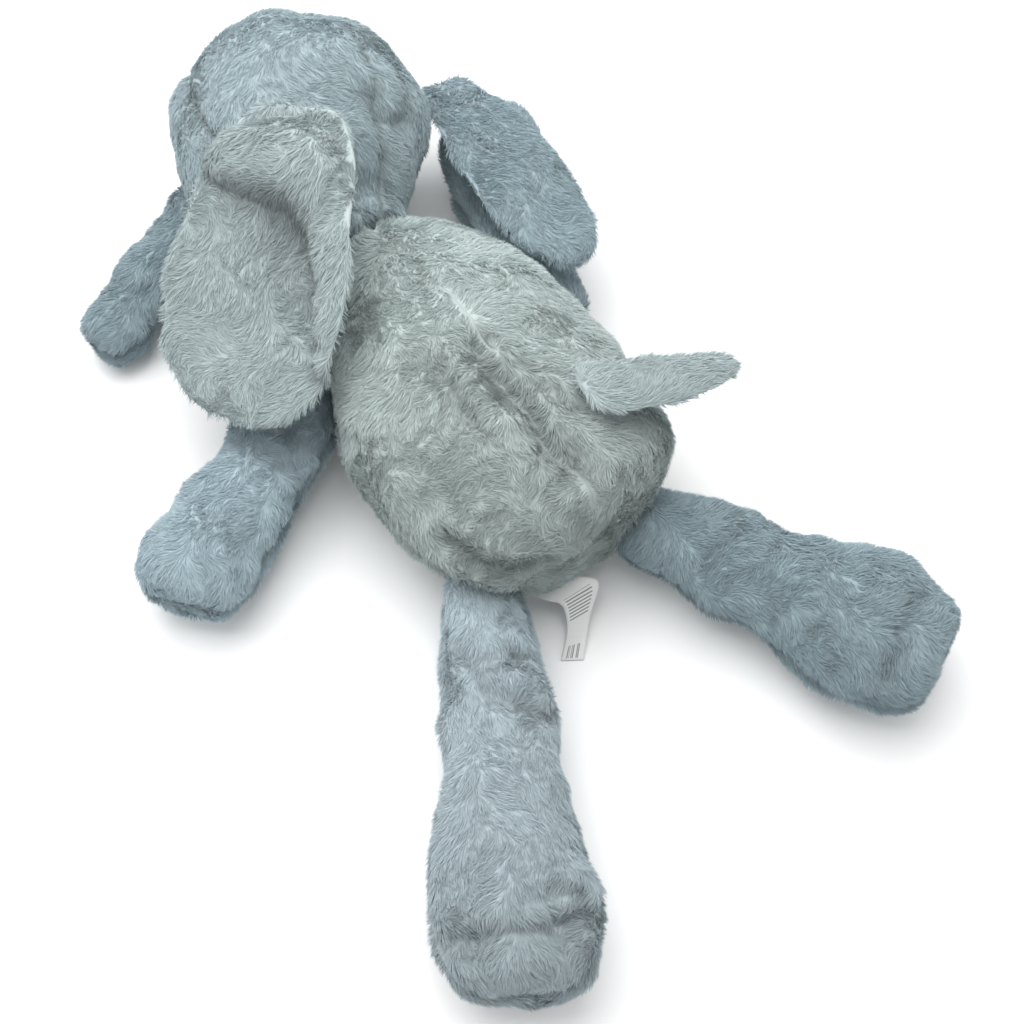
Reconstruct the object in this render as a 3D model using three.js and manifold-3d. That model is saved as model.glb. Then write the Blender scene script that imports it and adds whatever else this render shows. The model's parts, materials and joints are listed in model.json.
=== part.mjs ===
// A long-legged plush elephant lying on its belly, its head turned to its left.
// Millimetres, +Z up, head towards +Y. Each stuffed part is a skin of sewn pile panels round a
// fibre filling, and turns in a shallow dish of the part that it is sewn to.
import * as THREE from "three";
import { mergeVertices } from "three/addons/utils/BufferGeometryUtils.js";
import Module from "manifold-3d";

const wasm = await Module();
wasm.setup();

// Driving dimensions
const PILE = 10; // thickness of the pile cloth, backing included
const SEAM_GAP = 0.6; // between two panels of one skin
const FILL_GAP = 0.6; // between a skin and its filling
const SOCKET_GAP = 2; // between a round root and the dish that it turns in
const LAY_GAP = 2; // between two parts that lie on each other

const TORSO_LENGTH = 390;
const TORSO_WIDTH = 262;
const TORSO_DEPTH = 208;
const TORSO_SINK = 6; // how much of the belly is pressed flat
const TORSO_SEAM_HEIGHT = 92; // the seam between the back panels and the belly panel

const HEAD_WIDTH = 264;
const HEAD_HEIGHT = 230; // neck to crown
const HEAD_DEPTH = 248; // face to back
const HEAD_SHIFT = 3; // sideways, from the neck
const HEAD_TURN = THREE.MathUtils.degToRad(36);
const EAR_SEAM = 14; // the seam that holds the ears stands this far behind the head's middle
const NECK_RADIUS = 46;
const NECK_OUT = 14.72; // how far the neck's middle stands in front of the torso's end
const NECK_RISE = 10; // above the torso's middle
const NECK_SIDE = 6;
const HEAD_SEAT = 9.2; // how far the head is pushed onto the neck
const EYE_DIAMETER = 16;
const EYE_SHANK = 4;
const EYE_PLACE = new THREE.Vector3(0.58, 0.5, -0.64); // out, towards the crown, back
const WASHER_DIAMETER = 22;
const WASHER_THICKNESS = 2;
const KNOT_DIAMETER = 9;

const TRUNK_LENGTH = 178;
const TRUNK_ROOT_RADIUS = 41;
const TRUNK_TIP_RADIUS = 38;

const EAR_LENGTH = 270;
const EAR_WIDTH = 214;
const TUCKED_EAR_WIDTH = 112; // the right ear is folded lengthwise behind the head
const EAR_THICKNESS = 2 * PILE + SEAM_GAP;

const FORELEG_LENGTH = 250;
const FORELEG_ROOT_RADIUS = 43;
const PAW_RADIUS = 61;

const HIND_LEG_LENGTH = 332;
const HIND_LEG_BUNCHED = 54; // the right hind leg is bunched up by this much where it is sewn on
const HIND_ROOT_RADIUS = 42;
const FOOT_RADIUS = 73;

const TAIL_LENGTH = 140;
const TAIL_WIDTH = 66;
const TAIL_THICKNESS = 2 * PILE + SEAM_GAP + 2;
const TAIL_RISE = 6; // of the tail's root above the back

const LABEL_WIDTH = 22;
const LABEL_LENGTH = 84;
const LABEL_THICKNESS = 0.8;

// Facets round and along the large forms, the limbs and the small pieces
const LARGE = { round: 18, along: 13 };
const LIMB = { round: 10, along: 9 };
const BALL = { round: 14, along: 8 };
const SMALL = { round: 10, along: 6 };
const FAR = 4000; // side of the blocks that cut along a plane
const LIE_SPAN = 0.82; // share of a limb's length at which its end is fullest and lies down

const finish = (color, roughness) => new THREE.MeshStandardMaterial({ color, roughness, metalness: 0 });
const cloth = (colour) => finish(colour, 0.95);
const plastic = (colour) => finish(colour, 0.2);
const PLUSH = cloth(0x9fb0b8);
const PLUSH_LIGHT = cloth(0xa9bcbc);
const FIBRE = cloth(0xf1f1ec);
const SATIN = cloth(0xf4f4f2);
const THREAD = cloth(0x4d565c);
const EYE_PLASTIC = plastic(0x101012);
const WASHER_PLASTIC = plastic(0xe8e8e8);

const at = (x, y, z) => new THREE.Vector3(x, y, z);
const X = at(1, 0, 0);
const Y = at(0, 1, 0);
const Z = at(0, 0, 1);
const ORIGIN = at(0, 0, 0);

// A three.js geometry as a solid that can be joined and cut.
function solid(geometry, matrix = new THREE.Matrix4()) {
  const bare = geometry.clone().applyMatrix4(matrix);
  bare.deleteAttribute("normal");
  bare.deleteAttribute("uv");
  const merged = mergeVertices(bare, 1e-4);
  return new wasm.Manifold(
    new wasm.Mesh({
      numProp: 3,
      vertProperties: new Float32Array(merged.attributes.position.array),
      triVerts: new Uint32Array(merged.index.array),
    }),
  );
}

// A solid as a named mesh.
function piece(name, body, material) {
  const mesh = body.getMesh();
  const geometry = new THREE.BufferGeometry();
  const places = new Float32Array((mesh.vertProperties.length / mesh.numProp) * 3);
  for (let i = 0; i * 3 < places.length; i += 1) {
    places.set(mesh.vertProperties.subarray(i * mesh.numProp, i * mesh.numProp + 3), i * 3);
  }
  geometry.setAttribute("position", new THREE.BufferAttribute(places, 3));
  geometry.setIndex(new THREE.BufferAttribute(new Uint32Array(mesh.triVerts), 1));
  geometry.computeVertexNormals();
  const made = new THREE.Mesh(geometry, material);
  made.name = name;
  return made;
}

function ball(radius, centre) {
  return solid(new THREE.SphereGeometry(radius, BALL.round, BALL.along).translate(...centre));
}

// The hollow that a ball turns in, wide enough that no facet of it reaches the ball.
const dish = (radius, wall, centre) =>
  ball((radius + SOCKET_GAP + wall) / Math.cos(Math.PI / BALL.round), centre);

// Everything on the side of a plane that its normal points to.
function halfSpace(normal, point) {
  const turn = new THREE.Quaternion().setFromUnitVectors(Z, normal.clone().normalize());
  const matrix = new THREE.Matrix4().makeRotationFromQuaternion(turn).setPosition(point);
  return solid(new THREE.BoxGeometry(FAR, FAR, FAR).translate(0, 0, FAR / 2), matrix);
}

// The two sides of a seam plane, each half the seam gap back from it.
function split(body, normal, point) {
  const unit = normal.clone().normalize();
  const ahead = point.clone().addScaledVector(unit, SEAM_GAP / 2);
  const behind = point.clone().addScaledVector(unit, -SEAM_GAP / 2);
  return [body.intersect(halfSpace(unit, ahead)), body.intersect(halfSpace(unit.clone().negate(), behind))];
}

// A round form about the Y axis from a smooth profile of [radius, along] points, moved in by
// inset all over, then made high times as high in Z.
function form(profile, inset, high, detail) {
  const curve = new THREE.SplineCurve(profile.map(([radius, y]) => new THREE.Vector2(radius, y)));
  const points = curve.getSpacedPoints(detail.along).map((point, i) => {
    const first = i === 0;
    const last = i === detail.along;
    const tangent = curve.getTangentAt(i / detail.along);
    const atEnd = first || last;
    const inward = atEnd ? new THREE.Vector2(0, first ? 1 : -1) : new THREE.Vector2(-tangent.y, tangent.x);
    point.addScaledVector(inward, inset);
    return new THREE.Vector2(atEnd ? 0 : Math.max(point.x, 0.5), point.y);
  });
  return new THREE.LatheGeometry(points, detail.round).scale(1, 1, high);
}

// Skin and filling of a form whose solid at any inset is given.
function stuffed(solidAt) {
  return { skin: solidAt(0).subtract(solidAt(PILE)), filling: solidAt(PILE + FILL_GAP) };
}

// A tapered limb along +Y from a round root at its own origin.
function limb(rootRadius, endRadius, length, flat) {
  const profile = [
    [0, -rootRadius * 0.8],
    [rootRadius * 0.75, -rootRadius * 0.3],
    [rootRadius * 0.98, rootRadius * 0.5],
    [rootRadius * 0.6 + endRadius * 0.4, length * 0.42],
    [endRadius * 0.95, length * 0.66],
    [endRadius, length * LIE_SPAN],
    [endRadius * 0.72, length * 0.965],
    [0, length],
  ];
  return stuffed((inset) => solid(form(profile, inset, flat, LIMB)).add(ball(rootRadius - inset, ORIGIN)));
}

// A group whose +Y runs from a root at the given heading, its far end lying on the floor.
function laidFrom(root, heading, length, endHalfHeight) {
  const group = new THREE.Group();
  const drop = Math.asin((root.z - endHalfHeight) / (length * LIE_SPAN));
  group.position.copy(root);
  group.rotateZ(heading);
  group.rotateX(-drop);
  group.updateMatrixWorld(true);
  return group;
}

// A limb's two panels and its filling, in a group of their own.
function addLimb(name, group, parts, material, names) {
  const [upper, under] = split(parts.skin, Z, ORIGIN);
  group.add(piece(`${name}_${names[0]}`, upper, material));
  group.add(piece(`${name}_${names[1]}`, under, material));
  group.add(piece(`${name}_stuffing`, parts.filling, FIBRE));
}

// A flat flap of two panels along +Y from its own origin.
function flap(length, width, thickness, profile) {
  const outline = profile.map(([radius, y]) => [(radius * width) / 2, y * length]);
  return solid(form(outline, 0, thickness / width, LIMB));
}

const toy = new THREE.Group();

// Torso: a pear-shaped form along Y, pressed flat where it lies
const RUMP_Y = -TORSO_LENGTH * 0.287;
const FRONT_Y = RUMP_Y + TORSO_LENGTH;
const TORSO_Z = TORSO_DEPTH / 2 - TORSO_SINK;
const torsoProfile = [
  [0, RUMP_Y],
  [TORSO_WIDTH * 0.27, RUMP_Y + TORSO_LENGTH * 0.02],
  [TORSO_WIDTH * 0.4, RUMP_Y + TORSO_LENGTH * 0.08],
  [TORSO_WIDTH * 0.475, RUMP_Y + TORSO_LENGTH * 0.2],
  [TORSO_WIDTH * 0.5, RUMP_Y + TORSO_LENGTH * 0.38],
  [TORSO_WIDTH * 0.48, RUMP_Y + TORSO_LENGTH * 0.57],
  [TORSO_WIDTH * 0.4, RUMP_Y + TORSO_LENGTH * 0.75],
  [TORSO_WIDTH * 0.27, RUMP_Y + TORSO_LENGTH * 0.91],
  [0, FRONT_Y],
];
const torsoWhole = (inset) =>
  solid(form(torsoProfile, inset, TORSO_DEPTH / TORSO_WIDTH, LARGE).translate(0, 0, TORSO_Z)).intersect(
    halfSpace(Z, at(0, 0, inset)),
  );

// Where the other parts are sewn on
const neck = at(NECK_SIDE, FRONT_Y + NECK_OUT, TORSO_Z + NECK_RISE);
const roots = {
  foreleg_left: at(-TORSO_WIDTH * 0.44, FRONT_Y - TORSO_LENGTH * 0.23, FORELEG_ROOT_RADIUS + 14),
  foreleg_right: at(TORSO_WIDTH * 0.47, FRONT_Y - TORSO_LENGTH * 0.31, FORELEG_ROOT_RADIUS + 6),
  hind_leg_left: at(-TORSO_WIDTH * 0.39, RUMP_Y + TORSO_LENGTH * 0.05, HIND_ROOT_RADIUS + 8),
  hind_leg_right: at(TORSO_WIDTH * 0.27, RUMP_Y + TORSO_LENGTH * 0.02, HIND_ROOT_RADIUS + 8),
};
const sockets = [
  [neck, NECK_RADIUS],
  [roots.foreleg_left, FORELEG_ROOT_RADIUS],
  [roots.foreleg_right, FORELEG_ROOT_RADIUS],
  [roots.hind_leg_left, HIND_ROOT_RADIUS],
  [roots.hind_leg_right, HIND_ROOT_RADIUS],
];

const socketsOf = (wall) =>
  sockets
    .map(([centre, radius]) => dish(radius, wall, centre))
    .reduce((joined, next) => joined.add(next));
const torsoInner = (inset) => torsoWhole(inset).subtract(socketsOf(inset));
const torsoSkin = torsoInner(0).subtract(torsoInner(PILE));
const [torsoBack, belly] = split(torsoSkin, Z, at(0, 0, TORSO_SEAM_HEIGHT));
const [backRight, backLeft] = split(torsoBack, X, ORIGIN);
toy.add(piece("body_back_left", backLeft, PLUSH_LIGHT));
toy.add(piece("body_back_right", backRight, PLUSH_LIGHT));
toy.add(piece("belly_panel", belly, PLUSH_LIGHT));
toy.add(piece("body_stuffing", torsoInner(PILE + FILL_GAP), FIBRE));

// Head: crown towards +Y, face down, turned to its left about the spine
const HEAD_Z = Math.hypot(Math.cos(HEAD_TURN) * HEAD_DEPTH, Math.sin(HEAD_TURN) * HEAD_WIDTH) / 2 + 0.5;
const headCentre = at(HEAD_SHIFT, neck.y + HEAD_HEIGHT / 2 - HEAD_SEAT, HEAD_Z);
const headGroup = new THREE.Group();
headGroup.position.copy(headCentre);
headGroup.rotation.y = HEAD_TURN;
headGroup.updateMatrixWorld(true);
const headProfile = [
  [0, -HEAD_HEIGHT * 0.5],
  [HEAD_WIDTH * 0.3, -HEAD_HEIGHT * 0.42],
  [HEAD_WIDTH * 0.46, -HEAD_HEIGHT * 0.22],
  [HEAD_WIDTH * 0.5, 0],
  [HEAD_WIDTH * 0.45, HEAD_HEIGHT * 0.24],
  [HEAD_WIDTH * 0.28, HEAD_HEIGHT * 0.43],
  [0, HEAD_HEIGHT * 0.5],
];
const toHead = headGroup.matrixWorld.clone().invert();
const neckInHead = neck.clone().applyMatrix4(toHead);
const muzzle = at(-HEAD_WIDTH * 0.42, HEAD_HEIGHT * 0.15, 0);
const trunkRoot = headCentre.clone().add(muzzle).setZ(TRUNK_ROOT_RADIUS + 4);
const trunkInHead = trunkRoot.clone().applyMatrix4(toHead);
const headAt = (inset) =>
  solid(form(headProfile, inset, HEAD_DEPTH / HEAD_WIDTH, LARGE))
    .subtract(dish(TRUNK_ROOT_RADIUS, inset, trunkInHead))
    .add(ball(NECK_RADIUS - inset, neckInHead));
const head = stuffed(headAt);

// A point of the head's surface in a given direction from its middle, as a frame whose +Y
// points straight away from the middle.
function onHead(direction) {
  const out = direction.clone().normalize();
  const reach = 1 / Math.hypot(out.x / HEAD_WIDTH, out.y / HEAD_HEIGHT, out.z / HEAD_DEPTH) / 2;
  const turn = new THREE.Quaternion().setFromUnitVectors(Y, out);
  return new THREE.Matrix4().makeRotationFromQuaternion(turn).setPosition(out.multiplyScalar(reach));
}

const disc = (radius, thickness, middle) =>
  new THREE.CylinderGeometry(radius, radius, thickness, SMALL.round).translate(0, middle, 0);

// An eye: a domed cap on the skin, its shank through the skin, and a lock washer behind it
const WASHER_DEPTH = PILE + FILL_GAP + WASHER_THICKNESS * 2.5;
const SHANK_LENGTH = WASHER_DEPTH + WASHER_THICKNESS * 2;
const PIT_DEPTH = SHANK_LENGTH + WASHER_THICKNESS;
function eyeParts(side) {
  const frame = onHead(at(EYE_PLACE.x * side, EYE_PLACE.y, EYE_PLACE.z));
  const cap = (clearance) =>
    new THREE.SphereGeometry(EYE_DIAMETER / 2 + clearance, SMALL.round, SMALL.along).scale(1, 0.75, 1);
  const eye = solid(cap(0), frame).add(solid(disc(EYE_SHANK / 2, SHANK_LENGTH, -SHANK_LENGTH / 2), frame));
  const shaft = disc(EYE_SHANK / 2 + FILL_GAP, PIT_DEPTH * 2, 0);
  const hole = solid(cap(FILL_GAP), frame).add(solid(shaft, frame));
  const washer = solid(disc(WASHER_DIAMETER / 2, WASHER_THICKNESS, -WASHER_DEPTH), frame).subtract(hole);
  const pit = solid(disc(WASHER_DIAMETER / 2 + FILL_GAP * 2, PIT_DEPTH, -PIT_DEPTH / 2), frame);
  return { eye, hole, washer, pit };
}
const eyes = { left: eyeParts(-1), right: eyeParts(1) };

// The knot where the back seam is drawn together at the crown
const knotFrame = onHead(at(0, 0.8, 0.6));
const knotAt = (clearance) =>
  solid(
    new THREE.SphereGeometry(KNOT_DIAMETER / 2 + clearance, SMALL.round, SMALL.along).scale(1.4, 1, 1),
    knotFrame,
  );

let headSkin = head.skin.subtract(knotAt(FILL_GAP));
let headFilling = head.filling;
for (const side of ["left", "right"]) {
  headSkin = headSkin.subtract(eyes[side].hole);
  headFilling = headFilling.subtract(eyes[side].pit);
  headGroup.add(piece(`eye_${side}`, eyes[side].eye, EYE_PLASTIC));
  headGroup.add(piece(`eye_washer_${side}`, eyes[side].washer, WASHER_PLASTIC));
}
const [headBack, headFace] = split(headSkin, Z, at(0, 0, EAR_SEAM));
const [headBackRight, headBackLeft] = split(headBack, X, ORIGIN);
const [headFaceRight, headFaceLeft] = split(headFace, X, ORIGIN);
headGroup.add(piece("head_back_left", headBackLeft, PLUSH));
headGroup.add(piece("head_back_right", headBackRight, PLUSH));
headGroup.add(piece("head_face_left", headFaceLeft, PLUSH));
headGroup.add(piece("head_face_right", headFaceRight, PLUSH));
headGroup.add(piece("head_stuffing", headFilling, FIBRE));
headGroup.add(piece("crown_knot", knotAt(0), THREAD));
toy.add(headGroup);

// Trunk, forelegs and hind legs
const degrees = THREE.MathUtils.degToRad;
const limbs = [
  {
    name: "trunk",
    root: trunkRoot,
    heading: degrees(116),
    sizes: [TRUNK_ROOT_RADIUS, TRUNK_TIP_RADIUS, TRUNK_LENGTH, 0.95],
    panels: ["upper", "under"],
    material: PLUSH,
  },
  {
    name: "foreleg_left",
    root: roots.foreleg_left,
    heading: degrees(122),
    sizes: [FORELEG_ROOT_RADIUS, PAW_RADIUS, FORELEG_LENGTH, 0.88],
    panels: ["outer", "inner"],
    material: PLUSH,
  },
  {
    name: "foreleg_right",
    root: roots.foreleg_right,
    heading: degrees(-18),
    sizes: [FORELEG_ROOT_RADIUS, PAW_RADIUS, FORELEG_LENGTH, 0.8],
    panels: ["outer", "inner"],
    material: PLUSH,
  },
  {
    name: "hind_leg_left",
    root: roots.hind_leg_left,
    heading: degrees(153),
    sizes: [HIND_ROOT_RADIUS, FOOT_RADIUS, HIND_LEG_LENGTH, 0.88],
    panels: ["outer", "inner"],
    material: PLUSH,
  },
  {
    name: "hind_leg_right",
    root: roots.hind_leg_right,
    heading: degrees(-153),
    sizes: [HIND_ROOT_RADIUS, FOOT_RADIUS, HIND_LEG_LENGTH - HIND_LEG_BUNCHED, 0.88],
    panels: ["outer", "inner"],
    material: PLUSH,
  },
];
for (const { name, root, heading, sizes, panels, material } of limbs) {
  const [, endRadius, length, flat] = sizes;
  const group = laidFrom(root, heading, length, endRadius * flat + LAY_GAP);
  addLimb(name, group, limb(...sizes), material, panels);
  toy.add(group);
}

// A group whose origin is a root, whose +Y runs to a tip and whose X lies along a given side.
function spreadFrom(root, tip, side) {
  const along = tip.clone().sub(root).normalize();
  const up = side.clone().cross(along).normalize();
  const across = along.clone().cross(up);
  const group = new THREE.Group();
  group.quaternion.setFromRotationMatrix(new THREE.Matrix4().makeBasis(across, along, up));
  group.position.copy(root);
  return group;
}

// Ears and tail: two panels sewn round their edge, with no filling
const EAR_OUTLINE = [
  [0, -0.04],
  [0.45, 0],
  [0.66, 0.12],
  [0.93, 0.36],
  [1, 0.6],
  [0.8, 0.86],
  [0.42, 0.975],
  [0, 1],
];
const TAIL_OUTLINE = [
  [0, -0.06],
  [0.7, 0],
  [0.98, 0.18],
  [0.84, 0.48],
  [0.6, 0.8],
  [0.34, 0.95],
  [0, 1],
];
const earLeftRoot = headCentre.clone().add(at(-HEAD_WIDTH * 0.144, -HEAD_HEIGHT * 0.348, HEAD_DEPTH * 0.5));
const earRightRoot = headCentre.clone().add(at(HEAD_WIDTH * 0.633, HEAD_HEIGHT * 0.026, -HEAD_DEPTH * 0.089));
const tailRoot = at(TORSO_WIDTH * 0.172, RUMP_Y + TORSO_LENGTH * 0.21, TORSO_Z + TORSO_DEPTH / 2 + TAIL_RISE);
const EAR_LEFT_WAY = at(-170, -171, -116); // the direction in which each ear lies
const EAR_RIGHT_WAY = at(-18, -254, 16);
const TAIL_WAY = at(125, -32, -46);

const flaps = [
  {
    name: "ear_left",
    root: earLeftRoot,
    tip: earLeftRoot.clone().add(EAR_LEFT_WAY),
    side: at(-140, 174, -60),
    width: EAR_WIDTH,
    length: EAR_LENGTH,
    thickness: EAR_THICKNESS,
    outline: EAR_OUTLINE,
    panels: ["outer", "inner"],
    material: PLUSH_LIGHT,
  },
  {
    name: "ear_right",
    root: earRightRoot,
    tip: earRightRoot.clone().add(EAR_RIGHT_WAY),
    side: at(-1, 0, 0.15),
    width: TUCKED_EAR_WIDTH,
    length: EAR_LENGTH,
    thickness: EAR_THICKNESS,
    outline: EAR_OUTLINE,
    panels: ["outer", "inner"],
    material: PLUSH,
  },
  {
    name: "tail",
    root: tailRoot,
    tip: tailRoot.clone().add(TAIL_WAY),
    side: at(-0.2, -1, 0),
    width: TAIL_WIDTH,
    length: TAIL_LENGTH,
    thickness: TAIL_THICKNESS,
    outline: TAIL_OUTLINE,
    panels: ["upper", "under"],
    material: PLUSH_LIGHT,
  },
];
for (const { name, root, tip, side, width, length, thickness, outline, panels, material } of flaps) {
  const group = spreadFrom(root, tip, side);
  const [upper, under] = split(flap(length, width, thickness, outline), Z, ORIGIN);
  group.add(piece(`${name}_${panels[0]}`, upper, material));
  group.add(piece(`${name}_${panels[1]}`, under, material));
  toy.add(group);
}

// The sewn-in label: one strip of satin ribbon from the seam between the hind legs
const labelRoot = at(-34, RUMP_Y + 2, 24);
const labelGroup = spreadFrom(labelRoot, at(-42, RUMP_Y + 2 - LABEL_LENGTH, 5), at(-1, 0, 0));
const ribbon = new THREE.BoxGeometry(LABEL_WIDTH, LABEL_LENGTH, LABEL_THICKNESS);
labelGroup.add(piece("sewn_label", solid(ribbon.translate(0, LABEL_LENGTH / 2, 0)), SATIN));
toy.add(labelGroup);

// The origin is the middle of the space that the toy takes up, on the floor
toy.updateMatrixWorld(true);
const space = new THREE.Box3().setFromObject(toy, true);
const part = new THREE.Group();
const middle = space.getCenter(at(0, 0, 0));
toy.position.set(-middle.x, -middle.y, -space.min.z);
part.add(toy);
export default part;
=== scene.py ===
"""The looks of a long-legged plush elephant that lies on its belly with its head turned.

Every panel of the real toy is one piece here: a thin backing cloth that follows the stuffed form, with its
combed pile standing on it. The stuffed forms are surfaces of two parameters, the angle round the part and
the share of the way along it, worked out in metres in the frame of the loaded model."""
import json
import math

import bpy
import numpy as np
from mathutils import Matrix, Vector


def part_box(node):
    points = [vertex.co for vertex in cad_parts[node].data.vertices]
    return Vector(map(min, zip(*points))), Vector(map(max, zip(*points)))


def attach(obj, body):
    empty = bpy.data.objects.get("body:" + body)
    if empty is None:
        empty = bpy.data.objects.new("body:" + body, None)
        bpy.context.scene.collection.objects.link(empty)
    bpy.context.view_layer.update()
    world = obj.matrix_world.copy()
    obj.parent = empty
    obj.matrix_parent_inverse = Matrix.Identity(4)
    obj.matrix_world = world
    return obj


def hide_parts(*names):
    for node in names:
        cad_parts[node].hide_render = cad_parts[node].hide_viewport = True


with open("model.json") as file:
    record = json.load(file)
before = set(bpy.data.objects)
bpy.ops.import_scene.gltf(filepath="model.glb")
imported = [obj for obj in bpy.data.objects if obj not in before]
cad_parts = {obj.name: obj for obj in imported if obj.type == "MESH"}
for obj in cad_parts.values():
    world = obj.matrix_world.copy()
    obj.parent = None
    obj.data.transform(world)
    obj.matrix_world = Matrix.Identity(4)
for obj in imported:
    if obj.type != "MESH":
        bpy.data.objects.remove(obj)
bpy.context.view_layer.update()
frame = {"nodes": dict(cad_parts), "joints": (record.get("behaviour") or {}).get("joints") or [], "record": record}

bl_info = {
    "name": "Plush Elephant",
    "version": (1, 0, 0),
    "blender": (4, 5, 0),
    "location": "3D View > Sidebar > Plush Elephant",
    "description": "Builds the panels, pile, wadding and label of a plush elephant",
    "category": "Add Mesh",
}

JOINTS = {joint["name"]: joint for joint in frame["joints"]}
NODES_OF = frame["record"]["behaviour"]["bodies"]
UP = np.array([0.0, 0.0, 1.0])
AHEAD = np.array([0.0, 1.0, 0.0])
TURN = 2 * math.pi
FLOOR_CLEARANCE = 0.0004  # nothing reaches lower than this above the floor
MAP_MARGIN = 0.03  # of a piece's map, left free round its outer side
INNER_MARGIN = 0.01  # the same round its inner side

# the pile
HIDDEN_SHARE = 0.6  # of the strands are left out where the cloth faces down
ROOT_DEPTH = 0.0008  # strands are rooted this deep in the backing
CLUMP_SHAPE = (0.62, 1.35)  # width and length of a clump, in clump sizes
GATHER = 0.30  # how far a strand leans to the tip of its clump, as a share of the way
SKIN_SHARE = 0.12  # how far along its strands' colour the backing cloth is, so it takes the roots' painted shade

# the stuffed forms
BELLY_SINK = 0.006  # the belly is pressed flat by this much
LUMP_SPAN = 0.085  # from one lump of stuffing to the next
DENT_SPAN = 0.036  # from one small dent to the next
DENT_SHARE = 0.25  # height of the dents, as a share of the lumps
DEEP_FOLD = 0.009  # a fold this deep gets the darkest painted shade that folds get
SEAM_SHADE = 0.6  # how dark the painted shade of a full seam is, against the deepest fold
BARE_DEPTH = 0.006  # cloth pushed in further than this, round a root, carries no pile
WADDING_GAP = 0.003  # between the backing and the wadding
FILLED = 0.7  # how full a stuffed part is
UNFILLED = 0.15  # how full an ear or the tail is, with only cloth in it

# the stage
LAMP_SIZE = 1.6
LAMP_DISTANCE = 1.6
LAMP_WAY = (0.9, -0.20, 0.75)  # towards the camera, to its right and above it
FLOOR_HALF = 6.0  # half the floor's side


class ElephantSizes(bpy.types.PropertyGroup):
    """Sizes of the pile, the cloth and the stuffed forms."""

    strand_length: bpy.props.FloatProperty(
        name="Pile length", description="Length of a strand of pile", default=0.0112, unit="LENGTH"
    )
    strand_width: bpy.props.FloatProperty(
        name="Strand width", description="Width of a strand at its root", default=0.0010, unit="LENGTH"
    )
    strands: bpy.props.IntProperty(
        name="Strands", description="Strands on a square metre of plush", default=520000
    )
    clump: bpy.props.FloatProperty(
        name="Clump size", description="Size of the pile's tufts", default=0.0062, unit="LENGTH"
    )
    lie: bpy.props.FloatProperty(
        name="Pile depth", description="Depth of the backing below the tips", default=0.0045, unit="LENGTH"
    )
    backing: bpy.props.FloatProperty(
        name="Backing thickness", description="Thickness of the backing cloth", default=0.0016, unit="LENGTH"
    )
    seam_depth: bpy.props.FloatProperty(
        name="Seam depth", description="How far a seam draws the cloth in", default=0.005, unit="LENGTH"
    )
    seam_width: bpy.props.FloatProperty(
        name="Seam width", description="Half width of the valley along a seam", default=0.006, unit="LENGTH"
    )
    lump: bpy.props.FloatProperty(
        name="Stuffing lumps", description="Height of the stuffing's lumps", default=0.0024, unit="LENGTH"
    )
    torso_length: bpy.props.FloatProperty(
        name="Torso length", description="Rump to neck opening", default=0.390, unit="LENGTH"
    )
    head_height: bpy.props.FloatProperty(
        name="Head height", description="Neck to crown", default=0.220, unit="LENGTH"
    )
    ear_fold: bpy.props.FloatProperty(
        name="Ear roll height", description="How high the ear's rim is rolled", default=0.027, unit="LENGTH"
    )
    ear_cup: bpy.props.FloatProperty(
        name="Ear cup depth", description="How far the ear's middle is cupped", default=0.012, unit="LENGTH"
    )
    label_width: bpy.props.FloatProperty(
        name="Label width", description="Width of the satin ribbon", default=0.022, unit="LENGTH"
    )


def colour_of(name, default, description):
    """A colour that the user may change."""
    return bpy.props.FloatVectorProperty(
        name=name, description=description, default=default, size=3, min=0, max=1, subtype="COLOR"
    )


class ElephantColours(bpy.types.PropertyGroup):
    """Colours of the cloths and of the small parts."""

    body: colour_of("Body", (0.60, 0.69, 0.68), "Pile tips of the back and the belly")
    ear: colour_of("Left ear and tail", (0.48, 0.56, 0.57), "Pile tips of the left ear and the tail")
    head: colour_of("Head", (0.45, 0.55, 0.58), "Pile tips of the head")
    arm: colour_of("Left foreleg", (0.46, 0.57, 0.62), "Pile tips of the left foreleg")
    # painted shade: a darker copy of the blue-grey plush for the trunk, right legs and right ear, which lie in
    # shade
    shade: colour_of("Trunk and right side", (0.36, 0.46, 0.50), "Pile tips of trunk, right legs and ear")
    leg: colour_of("Left hind leg", (0.56, 0.66, 0.70), "Pile tips of the left hind leg")
    wadding: colour_of("Wadding", (0.88, 0.88, 0.85), "Polyester fibre")
    satin: colour_of("Label", (0.86, 0.86, 0.85), "Satin ribbon")
    ink: colour_of("Label print", (0.10, 0.13, 0.12), "Bars printed on the ribbon")
    thread: colour_of("Knot", (0.16, 0.20, 0.23), "Thread of the crown knot")
    eye: colour_of("Eyes", (0.012, 0.012, 0.015), "Domed plastic eyes")
    washer: colour_of("Washers", (0.75, 0.75, 0.73), "Lock washers behind the eyes")


class ElephantStage(bpy.types.PropertyGroup):
    """The view and the light."""

    azimuth: bpy.props.FloatProperty(
        name="View round", description="Camera's turn", default=math.radians(-33), subtype="ANGLE"
    )
    elevation: bpy.props.FloatProperty(
        name="View height", description="Camera's rise", default=math.radians(62), subtype="ANGLE"
    )
    distance: bpy.props.FloatProperty(
        name="View distance", description="From the camera to the toy", default=1.25, unit="LENGTH"
    )
    lens: bpy.props.FloatProperty(name="Lens", description="Focal length in millimetres", default=48.83)
    aim: bpy.props.FloatVectorProperty(
        name="Aim",
        description="Where the camera looks",
        default=(0.0195, -0.0821, 0.060),
        subtype="XYZ_LENGTH",
    )
    key_light: bpy.props.FloatProperty(name="Key light", description="Power in watts", default=29)
    sky: bpy.props.FloatProperty(name="Sky", description="Strength of the light from all round", default=0.74)


# ---------------------------------------------------------------- places in the loaded model


def unit(vectors):
    """Vectors made one long."""
    return vectors / np.maximum(np.linalg.norm(vectors, axis=-1, keepdims=True), 1e-12)


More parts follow.
